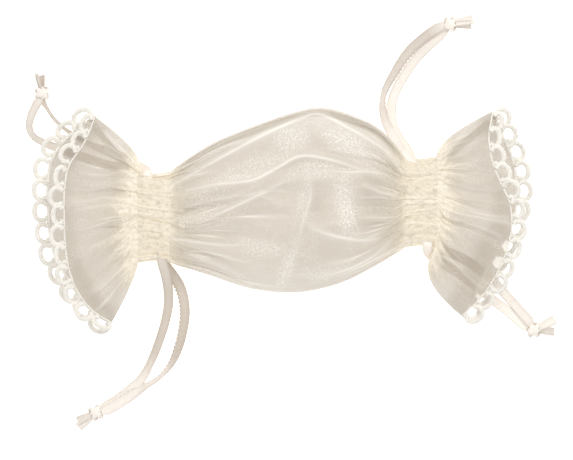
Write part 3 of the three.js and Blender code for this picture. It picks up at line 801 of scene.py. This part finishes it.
# A wrapped core with three turns of ribbon round it
def makeKnot(name, place, heading):
    form = bmesh.new()
    made = bmesh.ops.create_uvsphere(form, u_segments=40, v_segments=24, radius=1.0)
    for vertex in made["verts"]:
        spot = vertex.co.copy()
        pleat = 0.045 * math.sin(7 * math.atan2(spot.z, spot.y) + 3 * spot.x)
        squeeze = 1 - 0.10 * math.exp(-((spot.x / 0.35) ** 2))
        vertex.co = Vector((spot.x * 2.1, spot.y * 1.9 * squeeze, spot.z * 1.3 * squeeze)) * (1 + pleat) * mm
    core = set(made["verts"])
    for tilt, size in ((0.5, (2.05, 1.5)), (-0.75, (2.0, 1.52)), (1.45, (1.75, 1.45))):
        turn = np.linspace(0, 2 * math.pi, 56, endpoint=False)
        ring = np.stack([np.zeros(56), size[0] * np.cos(turn), size[1] * np.sin(turn)], axis=1)
        ring[:, 0] += 0.22 * np.sin(2 * turn + tilt)
        carryAlong(form, ring @ turnedBy(tilt).T * mm, 0.85 * mm, 0.2 * mm, 12, True)
    spin = turnedBy(heading)
    shadeOf = []
    for vertex in form.verts:
        low = 0.5 - 0.5 * min(vertex.co.z / (1.2 * mm), 1)
        shadeOf.append(min(0.1 + 0.7 * low + (0.75 if vertex in core else 0), 1))
        vertex.co = Vector(spin @ np.array(vertex.co)) + place
    return finishForm(name, form, satinFinish, None, shadeOf)


def makeEnds(name, place, heading, length, splay, turn):
    pieces = []
    for number, (lean, rise) in enumerate(((0.30, 0.25), (-0.22, -0.5))):
        angle = heading + lean * splay
        ahead = np.array([math.cos(angle), math.sin(angle), 0.0])
        start = np.array(place) + ahead * 1.3 * mm
        reach = np.linspace(0, length + 1.1 - 0.8 * number, 16)
        line = start + np.outer(reach * mm, ahead)
        line[:, 2] = np.maximum(place[2] + rise * mm - 0.5 * mm * (reach / length) ** 2, 0.45 * mm)
        width = (2.2 + 0.9 * ease(reach / length)) * mm
        roll = 0.35 - 0.9 * number + turn
        line[:, 2] = np.maximum(line[:, 2], np.abs(np.sin(roll)) * width / 2 + 0.2 * mm)
        shade = 0.15 + 0.3 * number + 0.4 * turn
        pieces.append(makeRibbon(f"{name}_{number}", line, width, roll, 0.25, shade))
    bpy.ops.object.select_all(action="DESELECT")
    for piece in pieces:
        piece.select_set(True)
    bpy.context.view_layer.objects.active = pieces[0]
    bpy.ops.object.join()
    pieces[0].name = pieces[0].data.name = name
    return pieces[0]


def valuesAlong(marks, count):
    shares, values = zip(*marks)
    return np.interp(np.linspace(0, 1, count), shares, values)


def makeDrawstring(name, plan):
    side = necks[plan["side"]]
    lane, middleZ, reachZ = laneOf(name)
    origin = np.array([lane, side["y"], 0.0])
    body = f"{name}_drawstring"
    place = Vector(origin) + Vector(plan["knot"]) * mm
    knot = makeKnot(f"{name}_ribbon_knot", place, plan["heading"])
    readyPiece(knot, body, "satin_ribbon", f"{name}_knot")
    ends = makeEnds(f"{name}_ribbon_ends", place, plan["heading"], plan["ends"],
                    plan.get("splay", 1), plan.get("endTurn", 0))
    readyPiece(ends, body, "satin_ribbon", f"{name}_cut_ends")
    for key, level in (("over", 1), ("under", -1)):
        runZ = (middleZ + level * reachZ) / mm
        inside = [(0, plan["exit"] * reach, runZ) for reach in ribbon["inside"]]
        laid = [(*point, ribbon["rest"])[:3] for point in plan[key]]
        points = np.array(inside + laid + [plan["knot"]]) * mm + origin
        rough = throughPoints(points, 200)
        line = evenly(rough, int(lengthsAlong(rough)[-1] / ribbon["step"]))
        roll = np.radians(valuesAlong(plan[key + "Roll"], len(line)))
        shade = valuesAlong(plan[key + "Shade"], len(line))
        need = np.abs(np.sin(roll)) * ribbon["width"] / 2 + 0.25 * mm
        line[:, 2] = np.maximum(line[:, 2], need)
        pinch = 1 - 0.45 * ease((np.linspace(0, 1, len(line)) - 0.94) / 0.06)
        tooth = plan.get(key + "Tooth", ribbon["tooth"])
        tail = makeRibbon(f"{name}_{key}_ribbon", line, ribbon["width"] * pinch, roll, 0.10, shade, tooth)
        readyPiece(tail, body, "satin_ribbon", f"{name}_{key}_tail")
    turn = np.linspace(-0.5, 0.5, 15) * math.pi
    y = -plan["exit"] * (ribbon["bendAt"] + ribbon["bend"] * np.cos(turn))
    loop = np.stack([0 * y, y * mm, middleZ - reachZ * np.sin(turn)], axis=1) + origin
    channel = makeRibbon(f"{name}_channel_ribbon", throughPoints(loop, 60), ribbon["width"], 0.0, 0.0)
    readyPiece(channel, "pouch", "satin_ribbon", f"{name}_channel_loop")


casingStrip = {"rows": 24, "columns": 180, "cloth": 0.070}


# The inner wall of each casing, gathered as the outer cloth is
def makeCasing(side):
    neck = necks[side]
    layers = []
    low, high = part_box(f"{side}_casing_strip")
    for up in (1, -1):
        y, z = sectionLine((high[1] - low[1]) / 2, (high[2] - low[2]) / 2, 0, 0.2 * mm)
        spots, crests = [], []
        along = np.linspace(low[0], high[0], casingStrip["rows"] + 1)
        for x in along:
            base = np.stack([np.full(len(y), x), neck["y"] + y, neckZ + up * z], axis=1)
            drift = foldPhases(up > 0) + 0.3 + bodyDrift * (x / mm)
            line, height, steep = gatherRow(base, casingStrip["cloth"], (1, 1, 0.7, 0.3, 0, 0), drift,
                                            casingStrip["columns"])
            line[:, 2] += up * np.clip(height, -1.2 * mm, 1.2 * mm)
            spots.append(line)
            crests.append(steep * 0.3)
        across = np.linspace(0, casingStrip["cloth"], casingStrip["columns"] + 1)
        u, v = np.meshgrid(along, across + (0 if up > 0 else 0.07), indexing="ij")
        inner = np.exp(-((u - neck["x"]) / (3.0 * mm)) ** 4)
        # painted shine on the pleat crests and the gathering, both strongest at the neck's middle
        layers.append(layerOf(spots, u, v, np.array(crests) * inner, inner))
    strip = makeSheet(f"{side}_inner_casing", layers, gatheredOrganza)
    readyPiece(strip, "pouch", "gathered_organza", f"{side}_casing_strip")


# Running stitches that follow the gathered cloth, counted in its columns
stitch = {"length": 6, "pitch": 8, "thick": 0.17 * mm, "above": 0.22 * mm, "bite": 0.3 * mm}


def makeStitches(side, row):
    low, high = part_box(f"{side}_{row}_stitch_row")
    at = (low[0] + high[0]) / 2
    form = bmesh.new()
    for layer, up in zip(bellyLayers, (1, -1)):
        line = layer["spots"][np.abs(layer["spots"][:, 0, 0] - at).argmin()].copy()
        line[:, 2] += up * stitch["above"]
        line[:, 0] = at
        for first in range(2, len(line) - stitch["length"], stitch["pitch"]):
            dash = throughPoints(line[first:first + stitch["length"]], 8)
            dash[[0, -1], 2] -= up * stitch["bite"]
            dash[:, 2] = np.maximum(dash[:, 2], 0.3 * mm)
            carryAlong(form, dash, stitch["thick"], stitch["thick"], 6)
    stitches = finishForm(f"{side}_{row}_stitches", form, threadFinish)
    readyPiece(stitches, "pouch", "thread", f"{side}_{row}_stitch_row")


# Seam allowances lie flat inside the +Y edge, their cut edge overcast
seam = {"width": 2.6 * mm, "rows": 150, "columns": 8, "overcast": 1.3 * mm, "thread": 0.13 * mm}


def makeSeam(name, edge, inward, node):
    form = bmesh.new()
    share = np.linspace(0, 1, len(edge))
    inner = edge + inward * seam["width"]
    inner[:, 2] += 0.25 * mm * np.sin(2 * math.pi * 5.3 * share)
    layers = []
    for up in (1, -1):
        mix = np.linspace(0.08, 1, seam["columns"] + 1)[None, :, None]
        spots = edge[:, None, :] * (1 - mix) + inner[:, None, :] * mix
        ripple = np.sin(2 * math.pi * (7.1 * share[:, None] + 0.2 * mix[:, :, 0]))
        spots[:, :, 2] += up * 0.12 * mm + 0.2 * mm * ripple
        u = np.broadcast_to(lengthsAlong(edge)[:, None], spots.shape[:2])
        v = np.broadcast_to(mix[:, :, 0] * seam["width"], spots.shape[:2])
        # painted shine growing towards the allowance's inner edge, and a little gathering
        layers.append(layerOf(spots, u, v + (up > 0) * 0.01, 0.25 * v / seam["width"], 0.15))
    strip = makeSheet(f"{name}_cloth", layers, sheer)
    run = lengthsAlong(inner)
    turns = int(run[-1] / seam["overcast"]) * 2
    at = np.linspace(0, run[-1], turns + 1)
    zigzag = placesAt(inner, run, at)
    zigzag -= np.outer((np.arange(turns + 1) % 2) * 1.1 * mm, inward)
    zigzag[:, 2] += 0.3 * mm
    carryAlong(form, zigzag, seam["thread"], seam["thread"], 5)
    thread = finishForm(f"{name}_thread", form, threadFinish)
    readyPiece(strip, "pouch", "organza", node)
    readyPiece(thread, "pouch", "thread", node)


for side in ("left", "right"):
    makeCasing(side)
    for row in ("outer", "inner"):
        makeStitches(side, row)
bodyLine = [bodyShape(x) | {"x": x} for x in np.linspace(bodyStart, bodyEnd, seam["rows"])]
bodyEdge = np.array([(b["x"], b["y"] + b["half"] - 0.8 * mm, b["z"]) for b in bodyLine])
makeSeam("body_seam", bodyEdge, np.array([0, -1.0, 0]), "chamber_seam")
print("casings, stitches and seams made")

for name, plan in drawstrings.items():
    makeDrawstring(name, plan)
print("drawstrings made")


# Flares: the mouth edge of each layer in mm from the middle of the neck, as reach outward and Y
flares = {
    "cloth": 0.080, "rows": 84, "columns": 220, "opening": 5.0 * mm, "gather": 7.2, "rest": 0.35 * mm,
    "left": {
        "bulge": (0.6, -0.6), "shoulder": (2.6, 1.6),
        "back": ((20, 33.5), (24.7, 30.2), (31.3, 24.6), (35.0, 17.8), (35.9, 10.0), (35.9, 1.7),
            (35.2, -6), (33.2, -13.6), (28.8, -21.2), (24.1, -28), (19.3, -32.7), (14.5, -35.2)),
        "front": ((20, 33.5), (23.4, 25), (28.6, 16.8), (29.9, 9), (30.0, 0), (29.7, -9), (28.4, -17.5),
            (25.4, -25.2), (20.4, -31.4), (14.5, -35.2)),
    },
    "right": {
        "bulge": (-5.6, -1.4), "shoulder": (-1.4, 1.9),
        "back": ((24.4, 30.4), (26.2, 24.9), (29.4, 18.6), (31.6, 12.2), (32.4, 4.6), (31.7, -4.2),
            (29.4, -10.4), (25.9, -16.4), (22.2, -23.2), (18.6, -30.4), (14, -38)),
        "front": ((24.4, 30.4), (22.9, 22), (23.7, 14.5), (26.6, 6.6), (29.7, -0.6), (30.4, -8),
            (28.6, -16.4), (25.2, -24.2), (20.6, -31.4), (14, -38)),
    },
}


def mouthEdge(side, layer, count):
    neck = necks[side]
    points = np.array(flares[side][layer][::-1]) * (neck["out"] * mm, mm) + (neck["x"], neck["y"])
    edge = throughPoints(np.pad(points, ((0, 0), (0, 1))), count)  # from -Y to +Y
    share = np.linspace(0, 1, len(edge))
    lift = flares["opening"] * np.sin(math.pi * share) ** 0.8 + 0.2 * mm
    wave = 0.5 * mm * np.sin(2 * math.pi * (3.3 * share + (0.2 if layer == "front" else 0.6)))
    wave *= np.sin(math.pi * share)
    edge[:, 2] = neckZ + (lift + wave) * (1 if layer == "front" else -1)
    return edge


def flareLayer(side, layer):
    neck = necks[side]
    rows, columns = flares["rows"], flares["columns"]
    up = 1 if layer == "front" else -1
    startX = neck["x"] + neck["out"] * (casing / 2 + 0.6 * mm)
    body = bodyShape(startX)
    y, z = sectionLine(body["half"], body["rise"], 0, 0.3 * mm)
    start = evenly(np.stack([np.full(len(y), startX), body["y"] + y, neckZ + up * z], axis=1), columns)
    edge = mouthEdge(side, layer, columns)
    phases = foldPhases(layer == "front") + bodyDrift * (startX / mm)
    wander = wanderAcross(columns, 0.28, 4, 40)
    spots, gather, depth, crests = [], [], [], []
    for row in np.linspace(0, 1, rows + 1) ** 1.35:
        base = start * (1 - row) + edge * row
        reach = np.linalg.norm((edge - start).mean(axis=0)) * row / mm
        lower = np.linspace(1, 0, len(base))[:, None] ** 1.6
        upper = np.linspace(0, 1, len(base))[:, None] ** 2.5
        for key, part, early in (("bulge", lower, 0.75), ("shoulder", upper, 0.6)):
            swell = math.sin(math.pi * row**early) ** 0.9 * mm
            base += part * swell * np.array([*flares[side][key], 0])
        base[:, 2] += up * 1.1 * mm * math.sin(math.pi * row) * np.sin(np.linspace(0, math.pi, len(base)))
        fade = (math.exp(-reach / 3.5), math.exp(-reach / 7), math.exp(-reach / 14),
                0.7 * math.exp(-reach / 30), 0.35 + 0.35 * row, 0.7 * row)
        drift = bodyDrift * reach * neck["out"]
        line, height, steep = gatherRow(base, flares["cloth"], fade, phases + drift, columns)
        # steep pleat walls, where the cloth stands edge-on: denser cloth and a painted highlight
        crests.append(steep * (0.25 + 0.5 * row))
        line[:, 2] += up * heldIn(height, startX, line, reach) * ease((1.04 - row) / 0.3)
        line[:, 2] = neckZ + up * np.maximum(up * (line[:, 2] - neckZ), 0.15 * mm)
        spots.append(line)
        gather.append(np.exp(-((reach / (flares["gather"] * wander)) ** 4)))
        depth.append(reach * mm)
    spots = np.array(spots)
    spots[-1] = edge
    spots[:, :, 2] = np.maximum(spots[:, :, 2], flares["rest"])
    across = np.linspace(0, flares["cloth"], columns + 1)
    u, v = np.meshgrid(np.array(depth), across if up > 0 else 2 * flares["cloth"] - across, indexing="ij")
    # darker and more opaque towards the mouth edge, most on the lower layer's rim
    share = u / u.max()
    rim = ease((share - 0.66) / 0.2) * (0.25 if up > 0 else 1)  # the lower layer's hem is doubled
    tone = np.maximum(0.12 * ease((share - 0.25) / 0.5), 0.9 * rim)
    # a faint painted sheen where the cloth is gathered
    return layerOf(spots, u, v, crests, gather, 0.2 * np.array(gather), tone)


trim = {"loops": 12, "reach": 5.8, "cord": 0.88 * mm, "header": {"front": 0.3 * mm, "back": 0.62 * mm},
        "braid": 0.85 * mm, "uneven": {"front": 0.3, "back": 0.1}, "half": 0.44, "middle": 0.42,
        "arc": (-52, 232)}


# Picot trim: a header cord on the cloth's edge, and a row of cord loops outside it
def makeTrim(side, layer):
    edge = mouthEdge(side, layer, 300)
    edge[:, 2] = np.maximum(edge[:, 2], 0.8 * mm)
    form = bmesh.new()
    chance = np.random.RandomState(31 + (side == "right") * 5 + (layer == "back") * 2)
    along = lengthsAlong(edge)
    bumps = trim["header"][layer] * (1 + 0.14 * np.sin(2 * math.pi * along / trim["braid"]))
    carryAlong(form, edge, bumps, bumps, 8)
    pitch = along[-1] / trim["loops"]
    for number in range(trim["loops"]):
        at = (number + 0.5 + trim["uneven"][layer] * 0.5 * (chance.rand() - 0.5)) * pitch
        centre = placesAt(edge, along, at)
        ahead = placesAt(edge, along, at + mm) - placesAt(edge, along, at - mm)
        ahead /= np.linalg.norm(ahead)
        outward = np.cross(ahead, (0, 0, necks[side]["out"]))
        outward /= np.linalg.norm(outward)
        lean = (chance.rand() - 0.5) * 0.8
        outward = outward * math.cos(lean) + np.array([0, 0, 1.0]) * math.sin(lean)
        half = pitch * (trim["half"] + 0.03 * chance.rand())
        long = trim["reach"] * mm * (1 - trim["uneven"][layer] * chance.rand())
        middle = long * trim["middle"]
        reach = long - trim["cord"] - middle
        turn = np.radians(np.linspace(*trim["arc"], 42))
        skew = 0.35 * mm * (chance.rand() - 0.5)
        ring = centre + np.outer(half * np.cos(turn) + skew * (1 + np.sin(turn)), ahead)
        ring = ring + np.outer(middle + reach * np.sin(turn), outward)
        ring[:, 2] += 0.4 * mm * np.cos(turn) + 0.1 * mm
        gap = lengthsAlong(ring)
        rough = trim["cord"] * (1 + 0.12 * np.sin(2 * math.pi * gap / trim["braid"]))
        ring[:, 2] = np.maximum(ring[:, 2], trim["cord"] * 1.15)
        carryAlong(form, ring, rough, rough * 0.85, 8)
    return finishForm(f"{side}_picot_{layer}", form, picotFinish)


def blendLip(piece):
    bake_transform(piece)


for side in ("left", "right"):
    layers = [flareLayer(side, "front"), flareLayer(side, "back")]
    flare = makeSheet(f"{side}_flare", layers, sheer)
    readyPiece(flare, None, "organza", f"{side}_flare_front", f"{side}_flare_back")
    blendLip(flare)
    for layer in ("front", "back"):
        edging = makeTrim(side, layer)
        readyPiece(edging, None, "picot_trim", f"{side}_trim_{layer}")
        blendLip(edging)
    foot, corner = layers[0]["spots"][[0, -1], -1]
    edge = np.linspace(foot, corner, 60)
    edge[:, 2] = neckZ
    ahead = (corner - foot) / np.linalg.norm(corner - foot)
    inward = np.array([-ahead[1], ahead[0], 0]) * -necks[side]["out"]
    makeSeam(f"{side}_flare_seam_line", edge + inward * 0.8 * mm, inward, f"{side}_flare_seam")
print("flares and trim made")
